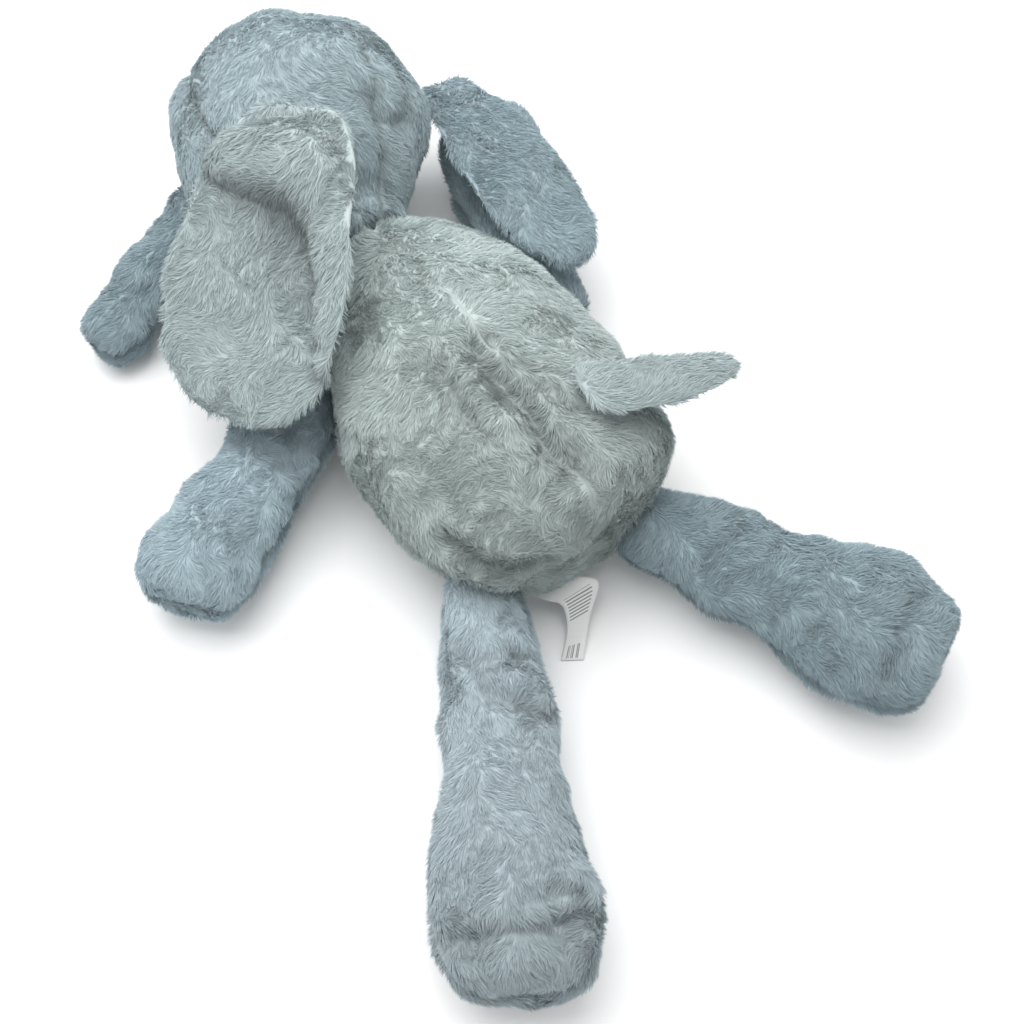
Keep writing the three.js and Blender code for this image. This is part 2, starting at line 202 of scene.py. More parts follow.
def corners_of(*nodes):
    """All corner points of the named solids."""
    found = []
    for node in nodes:
        vertices = frame["nodes"][node].data.vertices
        places = np.empty(len(vertices) * 3, np.float32)
        vertices.foreach_get("co", places)
        found.append(places.reshape(-1, 3).astype(float))
    return np.concatenate(found)


def middle_of(node):
    """The middle of a solid's box."""
    low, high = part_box(node)
    return (np.array(low) + np.array(high)) / 2


def local(points, origin, axes):
    """Points in the frame whose X, Y and Z are the rows of axes."""
    return (points - origin) @ axes.T


def in_world(points, origin, axes):
    """The way back from local."""
    return origin + points @ axes


def axes_along(along, across):
    """Rows X, Y, Z: Y runs along, X is what is left of across at a right angle to it."""
    side = unit(across - np.dot(across, along) * along)
    return np.array([side, along, np.cross(side, along)])


def reach(body, joint):
    """A part's root, its direction to its furthest corner, and that corner's distance."""
    root = np.array(JOINTS[joint]["pos_m"])
    corners = corners_of(*NODES_OF[body])
    gaps = np.linalg.norm(corners - root, axis=1)
    tip = corners[np.argmax(gaps)]
    return root, unit(tip - root), gaps.max()


# ---------------------------------------------------------------- curves and surfaces


def through(points, shares):
    """Catmull-Rom curve through points, at shares of its length: each stretch between two points is
    the cubic whose slope at a point is half the step from the point before to the point after."""
    points = np.asarray(points, float)
    last = len(points) - 1
    ends = np.vstack([2 * points[0] - points[1], points, 2 * points[-1] - points[-2]])
    where = np.linspace(0, last, 60 * last + 1)
    step = np.minimum(where.astype(int), last - 1)
    f = (where - step)[:, None]
    a, b, c, d = ends[step], ends[step + 1], ends[step + 2], ends[step + 3]
    fine = 0.5 * (2 * b + (c - a) * f + (2 * a - 5 * b + 4 * c - d) * f**2 + (3 * b - a - 3 * c + d) * f**3)
    run = np.concatenate([[0], np.cumsum(np.linalg.norm(np.diff(fine, axis=0), axis=1))])
    return np.column_stack([np.interp(shares * run[-1], run, column) for column in fine.T])


def turned(profile, angles, steps, high):
    """A profile of (radius, along) turned about Y: (r cos a, y, high r sin a)."""
    curve = through(profile, np.linspace(0, 1, steps))
    radius = np.maximum(curve[:, 0], 0)[None, :]
    a = angles[:, None]
    return np.stack([radius * np.cos(a), curve[:, 1] + 0 * a, high * radius * np.sin(a)], axis=2)


def normals_of(grid):
    """Outward unit normals of a grid that closes round its first axis: the slope along it crossed
    with the slope round it. At a pole it is the mean of the normals beside it."""
    wide = np.concatenate([grid[-2:-1], grid, grid[1:2]])
    round_it, along = np.gradient(wide, axis=(0, 1))
    out = np.cross(along, round_it)[1:-1]
    for pole, beside in ((0, 1), (-1, -2)):
        if np.ptp(grid[:, pole], axis=0).max() < 1e-6:
            out[:, pole] = unit(out[:, beside]).mean(axis=0)
    return unit(out)


def arcs(grid, axis):
    """Distance travelled over the grid along one of its axes."""
    steps = np.linalg.norm(np.diff(grid, axis=axis), axis=2)
    first = np.zeros_like(np.take(steps, [0], axis=axis))
    return np.cumsum(np.concatenate([first, steps], axis=axis), axis=axis)


def waves(points, seed, size, count=14):
    """An even, irregular pattern from about -1 to 1: the mean of sines of k.p in random directions,
    with wavelengths about the given size."""
    rng = np.random.default_rng(seed)
    k = unit(rng.normal(size=(count, 3))) * rng.uniform(0.7, 1.5, (count, 1)) * TURN / size
    phase = rng.uniform(0, TURN, count)
    return np.sin(points @ k.T + phase).sum(axis=-1) * math.sqrt(2 / count)


def creased(grid, out, folds):
    """Folds in the cloth. Each is a line of points, a depth and a width: a point at the distance d from
    the line goes in by depth exp(-(d/w)^2), and out by 0.45 depth exp(-((d-2.3w)/w)^2) beside it.
    Also gives each point's painted shade for how deep in a fold it is, from 0 to 1."""
    valley = np.zeros(grid.shape[:2])
    for line, depth, width in folds:
        samples = through(line, np.linspace(0, 1, 40))
        flat = grid.reshape(-1, 3)
        near = flat[np.argmin(np.linalg.norm(flat[None] - samples[:, None], axis=2), axis=1)]
        gap = np.min(np.linalg.norm(grid[:, :, None] - near, axis=3), axis=2)
        move = -np.exp(-((gap / width) ** 2)) + 0.45 * np.exp(-(((gap - 2.3 * width) / width) ** 2))
        grid = grid + out * (depth * move)[..., None]
        # painted shade in the fold: darkest for folds DEEP_FOLD deep or more
        valley = np.maximum(valley, np.exp(-((gap / (1.25 * width)) ** 2)) * min(depth / DEEP_FOLD, 1))
    return grid, valley


def swollen(grid, out, bumps):
    """Bumps of (middle, height, radius): out by height exp(-(d/radius)^2)."""
    for middle, height, radius in bumps:
        gap = np.linalg.norm(grid - middle, axis=2)
        grid = grid + out * (height * np.exp(-((gap / radius) ** 2)))[..., None]
    return grid


def drawn_in(grid, out, seams, depth, width):
    """Valleys along seams, which are lines of the grid: in by depth exp(-(d/w)^2) at the distance d.
    Also gives each point's painted shade for how deep in a seam it is, from 0 to 1."""
    valley = np.zeros(grid.shape[:2])
    travelled = arcs(grid, 0)
    whole = travelled[-1]
    for line, share in seams:
        gap = np.abs(travelled - travelled[line])
        gap = np.minimum(gap, whole - gap)
        dip = share * np.exp(-((gap / width) ** 2))
        grid = grid - out * (depth * dip)[..., None]
        # painted shade along the seam
        valley = np.maximum(valley, SEAM_SHADE * dip)
    return grid, valley


def dished(grid, out, sockets):
    """Hollows that round roots turn in: a point inside a ball goes in along its normal to the ball's
    far side. Also gives how far each point went."""
    moved = np.zeros(grid.shape[:2])
    for centre, radius in sockets:
        ahead = grid - centre
        along = -(ahead * out).sum(axis=2)
        inside = radius**2 - (ahead**2).sum(axis=2)
        step = np.where(inside > 0, -along + np.sqrt(np.maximum(along**2 + inside, 0)), 0)
        grid = grid - out * step[..., None]
        moved = np.maximum(moved, step)
    return grid, moved


# ---------------------------------------------------------------- meshes


def quads_of(rows, columns, offset=0):
    """Corner numbers of a grid's quads, facing the way that normals_of points."""
    index = offset + np.arange(rows * columns).reshape(rows, columns)
    return np.stack([index[:-1, :-1], index[:-1, 1:], index[1:, 1:], index[1:, :-1]], axis=-1).reshape(-1, 4)


def triangles_of(points, quads):
    """Quads as triangles, with corners at one place joined and faces with no area left out.
    Also gives, for each kept point, the number of a point that it came from."""
    keys = np.round(points / 1e-6).astype(np.int64)
    _, first, which = np.unique(keys, axis=0, return_index=True, return_inverse=True)
    quads = which.reshape(-1)[quads]
    halves = np.concatenate([quads[:, [0, 1, 2]], quads[:, [0, 2, 3]]])
    a, b, c = halves.T
    return first, halves[(a != b) & (b != c) & (c != a)]


def shell(grid, out, thickness):
    """A panel's closed shell: the grid, the same grid moved in along its normals, and walls round the
    edge. Gives points, quads and each point's place in the map, inner points a little outside outer ones."""
    rows, columns = grid.shape[:2]
    inner = grid - out * thickness
    across, along = np.meshgrid(np.linspace(0, 1, rows), np.linspace(0, 1, columns), indexing="ij")
    plan = np.stack([across, along], axis=2)
    outer_quads = quads_of(rows, columns)
    inner_quads = quads_of(rows, columns, rows * columns)[:, ::-1]
    index = np.arange(rows * columns).reshape(rows, columns)
    rim = np.concatenate([index[:-1, 0], index[-1, :-1], index[:0:-1, -1], index[0, :0:-1]])
    after = np.roll(rim, -1)
    walls = np.stack([rim, after, after + rows * columns, rim + rows * columns], axis=1)
    points = np.concatenate([grid.reshape(-1, 3), inner.reshape(-1, 3)])
    plan = plan.reshape(-1, 2)
    places = np.concatenate([margin + (1 - 2 * margin) * plan for margin in (MAP_MARGIN, INNER_MARGIN)])
    return points, np.concatenate([outer_quads, inner_quads, walls]), places


def mesh_piece(name, points, triangles, smooth, material, attributes=None, places=None):
    """A new object from arrays. smooth is how many of the first triangles are shaded smooth."""
    mesh = bpy.data.meshes.new(name)
    mesh.vertices.add(len(points))
    mesh.vertices.foreach_set("co", points.astype(np.float32).ravel())
    mesh.loops.add(triangles.size)
    mesh.loops.foreach_set("vertex_index", triangles.astype(np.int32).ravel())
    mesh.polygons.add(len(triangles))
    mesh.polygons.foreach_set("loop_start", np.arange(0, triangles.size, 3, dtype=np.int32))
    mesh.polygons.foreach_set("use_smooth", np.arange(len(triangles)) < smooth)
    for label, values in (attributes or {}).items():
        mesh.attributes.new(label, "FLOAT", "POINT").data.foreach_set("value", values.astype(np.float32))
    if places is not None:
        layer = mesh.uv_layers.new(name="OFBake")
        layer.data.foreach_set("uv", places[triangles.ravel()].astype(np.float32).ravel())
    mesh.update(calc_edges=True)
    mesh.materials.append(material)
    made = bpy.data.objects.new(name, mesh)
    bpy.context.scene.collection.objects.link(made)
    return made


def at_shares(values, i, j, s, t):
    """Values of a grid inside its cells: each corner's value by its share."""
    s, t = s[:, None], t[:, None]
    near = values[i, j] * (1 - s) + values[i + 1, j] * s
    far = values[i, j + 1] * (1 - s) + values[i + 1, j + 1] * s
    return near * (1 - t) + far * t


def mean_by(group, count, values):
    """The mean of the values of each group."""
    size = np.maximum(np.bincount(group, minlength=count), 1)
    return np.column_stack([np.bincount(group, column, count) for column in values.T]) / size[:, None]


def pile_on(grid, out, keep, valley, seed, comb):
    """Strands of pile on a grid, as spikes of three sides. A strand leans out of the cloth by its lift and
    runs along the comb direction, which wanders over the cloth; the strands of one clump lean to the tip
    that they share. Gives points and triangles, and for each point the share along its strand, the
    strand's tone, the painted shade of the cloth where it stands and its place in the map."""
    sizes = bpy.context.scene.elephant_sizes
    rng = np.random.default_rng(seed)
    density = sizes.strands * 1
    a = grid[1:, :-1] - grid[:-1, :-1]
    b = grid[:-1, 1:] - grid[:-1, :-1]
    area = np.linalg.norm(np.cross(a, b), axis=2) * keep[:-1, :-1]
    under = np.clip((-out[:-1, :-1, 2] - 0.2) / 0.5, 0, 1)
    wanted = area * density * (1 - HIDDEN_SHARE * under)
    many = np.floor(wanted + rng.random(wanted.shape)).astype(int)
    cell = np.repeat(np.arange(many.size), many.ravel())
    i, j = np.unravel_index(cell, many.shape)
    s, t = rng.random(len(cell)), rng.random(len(cell))
    root = at_shares(grid, i, j, s, t)
    normal = unit(at_shares(out, i, j, s, t))
    along = unit(at_shares(np.gradient(grid, axis=1), i, j, s, t))
    along = unit(along - (along * normal).sum(axis=1, keepdims=True) * normal)
    side = np.cross(normal, along)

    # clumps: cells of the cloth with wandering edges
    clump = sizes.clump
    ways = np.column_stack([
        at_shares(arcs(grid, 0)[..., None], i, j, s, t)[:, 0],
        at_shares(arcs(grid, 1)[..., None], i, j, s, t)[:, 0],
    ])
    ways[:, 0] += 0.45 * clump * waves(root, seed + 1, 3.1 * clump)
    ways[:, 1] += 0.45 * clump * waves(root, seed + 2, 3.7 * clump)
    numbers = np.floor(ways / (clump * np.array(CLUMP_SHAPE))).astype(np.int64)
    _, group = np.unique(numbers[:, 0] * 100003 + numbers[:, 1], return_inverse=True)
    group = group.reshape(-1)
    groups = group.max() + 1

    wander = comb["wander"]
    heading = comb.get("heading", 0.0) + wander * waves(root, seed + 3, comb["swirl"])
    heading = heading + 0.42 * wander * waves(root, seed + 4, 0.026)
    heading = heading + rng.normal(0, 0.16 * wander + 0.05, groups)[group] + rng.normal(0, 0.16, len(root))
    lift = comb["lift"] + rng.normal(0, 0.05, groups)[group] + rng.normal(0, 0.10, len(root))
    lift = np.clip(lift, 0.08, 1.0)
    length = sizes.strand_length * comb.get("length", 1.0) * rng.uniform(0.8, 1.1, len(root))
    length = length * rng.uniform(0.94, 1.06, groups)[group]
    lean = along * np.cos(heading)[:, None] + side * np.sin(heading)[:, None]
    way = lean * np.cos(lift)[:, None] + normal * np.sin(lift)[:, None]
    tip = root + way * length[:, None]
    shared = (mean_by(group, groups, root) + mean_by(group, groups, way) * sizes.strand_length)[group]
    tip = tip + GATHER * (shared - tip)

    foot = root - normal * ROOT_DEPTH
    axis = unit(tip - foot)
    flat = unit(np.cross(axis, normal) + 1e-9)
    edge = np.cross(axis, flat)
    half = sizes.strand_width / 2 * rng.uniform(0.8, 1.3, len(root))[:, None]
    turn = rng.uniform(0, TURN, len(root))[:, None]
    corners = [turn + k * TURN / 3 for k in range(3)]
    ring = [foot + half * (np.cos(angle) * flat + np.sin(angle) * edge) for angle in corners]
    points = np.stack([*ring, tip], axis=1)
    points[..., 2] = np.maximum(points[..., 2], FLOOR_CLEARANCE)
    faces = np.array([[0, 2, 1], [0, 1, 3], [1, 2, 3], [2, 0, 3]])
    triangles = (4 * np.arange(len(root))[:, None, None] + faces).reshape(-1, 3)
    share = np.tile([0.0, 0.0, 0.0, 1.0], len(root))
    tone = np.clip(rng.normal(0.5, 0.10, groups)[group] + rng.normal(0, 0.10, len(root)), 0, 1)
    # the painted shade of the cloth at each strand's root
    strand_painted_shade = at_shares(valley[..., None], i, j, s, t)[:, 0]

    # the map: each strand lies in it as it would lie on the flat cloth
    offset = points - root[:, None]
    cells = np.array(many.shape)
    du = (offset * a[i, j][:, None]).sum(axis=2) / np.maximum((a[i, j] ** 2).sum(axis=1), 1e-8)[:, None]
    dv = (offset * b[i, j][:, None]).sum(axis=2) / np.maximum((b[i, j] ** 2).sum(axis=1), 1e-8)[:, None]
    start = np.column_stack([(i + s) / cells[0], (j + t) / cells[1]])
    step = np.clip(np.stack([du, dv], axis=2) / cells, -0.03, 0.03)
    places = np.clip(MAP_MARGIN + (1 - 2 * MAP_MARGIN) * (start[:, None] + step), 0.005, 0.995)
    values = share, np.repeat(tone, 4), np.repeat(strand_painted_shade, 4)
    return points.reshape(-1, 3), triangles, *values, places.reshape(-1, 2)


def plush_panel(node, body, grid, out, keep, valley, material, slot, seed, comb, fill):
    """One sewn panel: its backing shell and its pile, standing for its plain solid."""
    sizes = bpy.context.scene.elephant_sizes
    points, quads, places = shell(grid, out, sizes.backing)
    points[:, 2] = np.maximum(points[:, 2], FLOOR_CLEARANCE)
    first, triangles = triangles_of(points, quads)
    points, places = points[first], places[first]
    hair, faces, share, tone, strand_painted_shade, hair_places = pile_on(grid, out, keep, valley, seed, comb)
    skin_painted_shade = np.tile(valley.ravel(), 2)[first]
    attributes = {
        "pile": np.concatenate([np.full(len(points), SKIN_SHARE), share]),
        "tone": np.concatenate([np.full(len(points), 0.5), tone]),
        # painted shade of folds, seams and shaded stretches
        "valley": np.concatenate([skin_painted_shade, strand_painted_shade]),
    }
    made = mesh_piece(
        f"{node}_plush",
        np.concatenate([points, hair]),
        np.concatenate([triangles, faces + len(points)]),
        len(triangles),
        material,
        attributes,
        np.concatenate([places, hair_places]),
    )
    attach(made, body)
    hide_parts(node)


def wadding_piece(node, body, grid, out, depth):
    """The filling of a part: its form moved in under the cloth, closed at both poles."""
    inner = grid - out * depth
    inner[..., 2] = np.maximum(inner[..., 2], depth)
    rows, columns = inner.shape[:2]
    first, triangles = triangles_of(inner.reshape(-1, 3), quads_of(rows, columns))
    points = inner.reshape(-1, 3)[first]
    made = mesh_piece(f"{node}_wadding", points, triangles, len(triangles), wadding_material())
    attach(made, body)
    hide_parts(node)


def seam_angles(panels):
    """Angles round a part with every seam on one of them, and the number of each panel's first angle.
    A panel is (node, first angle, last angle, steps), in degrees."""
    runs = [np.linspace(math.radians(start), math.radians(end), steps + 1) for _, start, end, steps in panels]
    angles = np.concatenate([run[:-1] for run in runs] + [runs[-1][-1:]])
    firsts = np.concatenate([[0], np.cumsum([steps for *_, steps in panels])])
    return angles, firsts


def stuffed_part(body, panels, wadding, surface, look):
    """A stuffed part from its surface: lumps, bumps, folds, hollows for roots and drawn-in seams, then
    one piece for each panel and one for the wadding. The folds and seams also get painted shade. look's
    shade is painted shade over the part: a place where the cloth is light, one where it is darkest, and
    how dark that is."""
    sizes = bpy.context.scene.elephant_sizes
    angles, firsts = seam_angles(panels)
    grid = surface(angles)
    grid[-1] = grid[0]
    out = normals_of(grid)
    grid = grid - out * sizes.lie
    grid = grid + out * (sizes.lump * waves(grid, look["seed"], LUMP_SPAN))[..., None]
    grid = grid + out * (DENT_SHARE * sizes.lump * waves(grid, look["seed"] + 9, DENT_SPAN))[..., None]
    grid = swollen(grid, out, look["bumps"])
    grid, valley = creased(grid, out, look["folds"])
    grid, moved = dished(grid, out, look.get("sockets", ()))
    seams = zip(firsts[:-1], look["seams"])
    grid, seam_painted_shade = drawn_in(grid, out, seams, sizes.seam_depth, sizes.seam_width)
    valley = np.maximum(valley, seam_painted_shade)
    # painted shade: darker along the way from the shade's start to its end
    if "shade" in look:
        start, end, depth = look["shade"]
        along = np.array(end) - np.array(start)
        share = np.clip((grid - start) @ along / (along @ along), 0, 1)
        valley = valley + (1 - valley) * depth * share
    grid[..., 2] = np.maximum(grid[..., 2], sizes.lie * 0.7)
    grid[-1] = grid[0]
    out = normals_of(grid)
    keep = (moved < BARE_DEPTH).astype(float)
    for centre, radius in look.get("bare", ()):
        keep = keep * (np.linalg.norm(grid - centre, axis=2) > radius)
    material = plush_material(look["material"], look["colour"])
    for k, (node, *_) in enumerate(panels):
        span = slice(firsts[k], firsts[k + 1] + 1)
        panel = grid[span], out[span], keep[span], valley[span]
        plush_panel(node, body, *panel, material, look["slot"], look["seed"] * 10 + k, look["comb"], FILLED)
    wadding_piece(wadding, body, grid, out, sizes.backing + WADDING_GAP)


# ---------------------------------------------------------------- materials


def nodes_for(name):
    """A new material, its node tree and its main shader."""
    material = bpy.data.materials.new(name)
    material.use_nodes = True
    return material, material.node_tree, material.node_tree.nodes["Principled BSDF"]


def node(tree, kind, links=(), **values):
    """A shader node with its settings, and its inputs' values or links by name or number."""
    made = tree.nodes.new(kind)
    for label, value in values.items():
        setattr(made, label, value)
    for socket, value in links:
        if isinstance(value, bpy.types.NodeSocket):
            tree.links.new(value, made.inputs[socket])
        else:
            made.inputs[socket].default_value = value
    return made


def noise(tree, scale, detail=3.0):
    """Noise over the piece's own Object coordinates, in cycles a metre."""
    where = node(tree, "ShaderNodeTexCoord").outputs["Object"]
    return node(tree, "ShaderNodeTexNoise", [("Vector", where), ("Scale", scale), ("Detail", detail)])


def times(tree, value, low, high):
    """A value from 0 to 1 brought to between low and high."""
    return node(tree, "ShaderNodeMapRange", [(0, value), (3, low), (4, high)]).outputs[0]


def plush_material(name, colour):
    """Combed pile: darker at the roots than at the tips as painted shade deep in the pile, lighter and darker
    by clump and strand, with broad patches where the pile lies another way, painted shade in the folds, the
    seams and the shaded stretches, and a soft sheen."""
    if name in bpy.data.materials:
        return bpy.data.materials[name]
    material, tree, shader = nodes_for(name)
    share = node(tree, "ShaderNodeAttribute", attribute_name="pile").outputs["Fac"]
    tone = node(tree, "ShaderNodeAttribute", attribute_name="tone").outputs["Fac"]
    # painted shade from folds, seams and shaded stretches, from 0 to 1
    valley = node(tree, "ShaderNodeAttribute", attribute_name="valley").outputs["Fac"]
    tips = tuple(colour)
    # painted shade deep in the pile: the roots are 0.85 of the tips' colour
    roots = tuple(0.85 * value for value in colour)
    pile = node(tree, "ShaderNodeMix", [(0, share), (6, (*roots, 1)), (7, (*tips, 1))], data_type="RGBA")
    patches = noise(tree, 22.0).outputs["Fac"]
    by_tone = times(tree, tone, 0.95, 1.05)
    by_patch = times(tree, patches, 0.95, 1.05)
    both = node(tree, "ShaderNodeMath", [(0, by_tone), (1, by_patch)], operation="MULTIPLY").outputs[0]
    # painted shade: the colour falls to 0.52 of itself where the shade is full
    by_painted_shade = times(tree, valley, 1.0, 0.52)
    value = node(tree, "ShaderNodeMath", [(0, both), (1, by_painted_shade)], operation="MULTIPLY").outputs[0]
    shaded = node(tree, "ShaderNodeHueSaturation", [("Value", value), ("Color", pile.outputs[2])])
    tree.links.new(shaded.outputs[0], shader.inputs["Base Color"])
    shader.inputs["Roughness"].default_value = 0.85
    shader.inputs["Sheen Weight"].default_value = 0.35
    shader.inputs["Sheen Roughness"].default_value = 0.45
    shader.inputs["Specular IOR Level"].default_value = 0.25
    return material


def speckled(name, colour, scale, spread, roughness, height):
    """A material with fine tone variation and relief: noise of the given scale and spread."""
    if name in bpy.data.materials:
        return bpy.data.materials[name]
    material, tree, shader = nodes_for(name)
    pattern = noise(tree, scale, 5.0).outputs["Fac"]
    value = times(tree, pattern, 1 - spread, 1 + spread)
    shaded = node(tree, "ShaderNodeHueSaturation", [("Value", value), ("Color", (*colour, 1))])
    tree.links.new(shaded.outputs[0], shader.inputs["Base Color"])
    relief = node(tree, "ShaderNodeBump", [("Height", pattern), ("Distance", height)])
    tree.links.new(relief.outputs[0], shader.inputs["Normal"])
    shader.inputs["Roughness"].default_value = roughness
    return material


def wadding_material():
    """Loose white polyester fibre."""
    return speckled("Wadding", tuple(bpy.context.scene.elephant_colours.wadding), 260.0, 0.07, 0.95, 0.002)


def satin_material():
    """Woven satin ribbon: fine ribs across it, and generic printed bars, as stripes of its own map."""
    colours = bpy.context.scene.elephant_colours
    material, tree, shader = nodes_for("Label satin")
    where = node(tree, "ShaderNodeUVMap", uv_map="Ribbon").outputs[0]
    split = node(tree, "ShaderNodeSeparateXYZ", [(0, where)])
    across, along = split.outputs[0], split.outputs[1]

    def sums(operation, *values):
        """One step of arithmetic on values or sockets."""
        return node(tree, "ShaderNodeMath", enumerate(values), operation=operation).outputs[0]

    def within(value, low, high):
        """1 where a value is between low and high."""
        return sums("MULTIPLY", sums("GREATER_THAN", value, low), sums("LESS_THAN", value, high))

    def wave(value, pace):
        """The sine of a value times its pace."""
        return sums("SINE", sums("MULTIPLY", value, pace))

    bars = sums("GREATER_THAN", sums("ADD", wave(across, 31.0), wave(across, 83.0)), 0.25)
    block = sums("MULTIPLY", within(along, 0.83, 0.95), within(across, 0.18, 0.82))
    lines = sums("GREATER_THAN", wave(along, 190.0), 0.35)
    column = sums("MULTIPLY", within(along, 0.34, 0.58), within(across, 0.14, 0.80))
    printed = sums("ADD", sums("MULTIPLY", block, bars), sums("MULTIPLY", column, lines))
    pattern = noise(tree, 900.0).outputs["Fac"]
    ground = node(
        tree,
        "ShaderNodeHueSaturation",
        [("Value", times(tree, pattern, 0.94, 1.05)), ("Color", (*colours.satin, 1))],
    ).outputs[0]
    share = sums("MULTIPLY", printed, 0.8)
    ink = node(tree, "ShaderNodeMix", [(0, share), (6, ground), (7, (*colours.ink, 1))], data_type="RGBA")
    tree.links.new(ink.outputs[2], shader.inputs["Base Color"])
    relief = node(tree, "ShaderNodeBump", [("Height", wave(along, 900.0)), ("Distance", 0.0001)])
    tree.links.new(relief.outputs[0], shader.inputs["Normal"])
    shader.inputs["Roughness"].default_value = 0.38
    shader.inputs["Anisotropic"].default_value = 0.4
    return material


# ---------------------------------------------------------------- the torso


def torso_frame():
    """The torso's rump point, half width, length and half height."""
    sizes = bpy.context.scene.elephant_sizes
    corners = corners_of("body_back_left", "body_back_right", "belly_panel")
    low, high = corners.min(axis=0), corners.max(axis=0)
    half_width = (high[0] - low[0]) / 2
    depth = high[2] + BELLY_SINK
    middle = np.array([(low[0] + high[0]) / 2, low[1], depth / 2 - BELLY_SINK])
    return middle, half_width, sizes.torso_length, depth / 2


def torso_surface(angles):
    """A pear-shaped profile turned about Y, blunt at the neck, and flat where it rests."""
    middle, half_width, length, half_height = torso_frame()
    profile = [
        (0, 0), (0.54, 0.02), (0.80, 0.08), (0.955, 0.20), (1.0, 0.38),
        (0.965, 0.57), (0.83, 0.75), (0.60, 0.90), (0.40, 0.965), (0, 1.0),
    ]
    outline = [(radius * half_width, along * length) for radius, along in profile]
    return turned(outline, angles, 100, half_height / half_width) + middle


# creases beside the tail and low on the left of the rump, in half widths, lengths and half heights
TAIL_CREASE = ((-0.02, 0.34, 0.99), (-0.045, 0.235, 0.956), (-0.07, 0.157, 0.89), (0.01, 0.095, 0.82))
RUMP_CREASE = ((-0.83, 0.161, 0.335), (-0.725, 0.089, 0.323), (-0.6, 0.042, 0.248), (-0.42, 0.02, 0.23))


class ELEPHANT_OT_torso(bpy.types.Operator):
    """Build the torso: two back panels, the belly panel and the wadding"""

    bl_idname = "elephant.torso"
    bl_label = "Torso"

    def execute(self, context):
        colours = context.scene.elephant_colours
        middle, half_width, length, half_height = torso_frame()
        scale = np.array([half_width, length, half_height])

        def line(*shares):
            return [middle + scale * np.array(share) for share in shares]

        roots = ("foreleg_left_swing", "foreleg_right_swing", "hind_leg_left_lift", "hind_leg_right_lift")
        sockets = []
        for name in roots:
            root, _, _, radius, *_ = limb_sizes(JOINTS[name]["child"], name)
            sockets.append((root, radius))
        sockets.append((np.array(JOINTS["head_nod"]["pos_m"]), neck_radius()))
        look = {
            "seed": 11,
            "material": "Mint plush",
            "colour": colours.body,
            "slot": "mint_plush",
            # painted shade: lighter at the shoulders, darker towards the lower rump
            "shade": ((0.0, 0.19, 0.1), (-0.04, -0.14, 0.1), 0.52),
            "sockets": sockets,
            "seams": (1.0, 0.12, 1.0),
            "folds": [
                (line((-0.08, 0.443, 0.98), (-0.12, 0.363, 0.975), (-0.15, 0.294, 0.96)), 0.0095, 0.009),
                (line(*TAIL_CREASE), 0.011, 0.010),
                (line(*RUMP_CREASE), 0.009, 0.008),
                (line((0.12, 0.36, 0.98), (0.16, 0.27, 0.96), (0.2, 0.2, 0.92)), 0.006, 0.008),
                (line((-0.42, 0.52, 0.8), (-0.33, 0.40, 0.87), (-0.31, 0.29, 0.86)), 0.006, 0.010),
            ],
            "bumps": [
                (line((0.1, 0.07, 0.62))[0], 0.006, 0.045),
                (line((-0.45, 0.12, 0.55))[0], 0.005, 0.05),
                (line((-0.92, 0.36, 0.1))[0], 0.013, 0.10),
            ],
            "comb": {"wander": 0.95, "swirl": 0.11, "lift": 0.36, "heading": math.pi},
        }
        tilt = -3.3  # the side seams run this far below the middle
        panels = [
            ("body_back_right", tilt, 90, 44),
            ("body_back_left", 90, 180 - tilt, 44),
            ("belly_panel", 180 - tilt, 360 + tilt, 60),
        ]
        stuffed_part("torso", panels, "body_stuffing", torso_surface, look)
        return {"FINISHED"}


# ---------------------------------------------------------------- the head


def neck_radius():
    """The neck ball's radius: how far the head's solids reach below the neck joint."""
    corners = corners_of("head_back_left", "head_back_right", "head_face_left", "head_face_right")
    return JOINTS["head_nod"]["pos_m"][1] - corners[:, 1].min()


def head_frame():
    """The head's middle, axes, half width, height and half depth. X runs from eye to eye."""
    sizes = bpy.context.scene.elephant_sizes
    left, right = middle_of("eye_left"), middle_of("eye_right")
    across = unit(np.array([right[0] - left[0], 0, right[2] - left[2]]))
    axes = np.array([across, AHEAD, np.cross(across, AHEAD)])
    corners = corners_of("head_back_left", "head_back_right", "head_face_left", "head_face_right") @ axes.T
    skull = corners[corners[:, 1] > corners[:, 1].max() - sizes.head_height]
    low, high = skull.min(axis=0), skull.max(axis=0)
    middle = (low + high) / 2
    middle[1] = high[1] - sizes.head_height / 2
    return middle @ axes, axes, (high[0] - low[0]) / 2, sizes.head_height, (high[2] - low[2]) / 2


def head_surface(angles):
    """An egg turned about the crown-to-neck axis, which bends to the neck at its lower end."""
    middle, axes, half_width, height, half_depth = head_frame()
    profile = [
        (0, -0.66), (0.30, -0.60), (0.37, -0.50), (0.60, -0.42), (0.92, -0.22),
        (1.0, 0), (0.90, 0.24), (0.56, 0.43), (0, 0.5),
    ]
    outline = [(radius * half_width, along * height) for radius, along in profile]
    grid = turned(outline, angles, 84, half_depth / half_width)
    neck = local(np.array(JOINTS["head_nod"]["pos_m"]), middle, axes)
    bend = np.clip((-0.36 * height - grid[..., 1]) / (0.14 * height), 0, 1)[..., None]
    bend = bend**2 * (3 - 2 * bend)
    grid = grid + bend * neck * np.array([1, 0, 1])
    return in_world(grid, middle, axes)


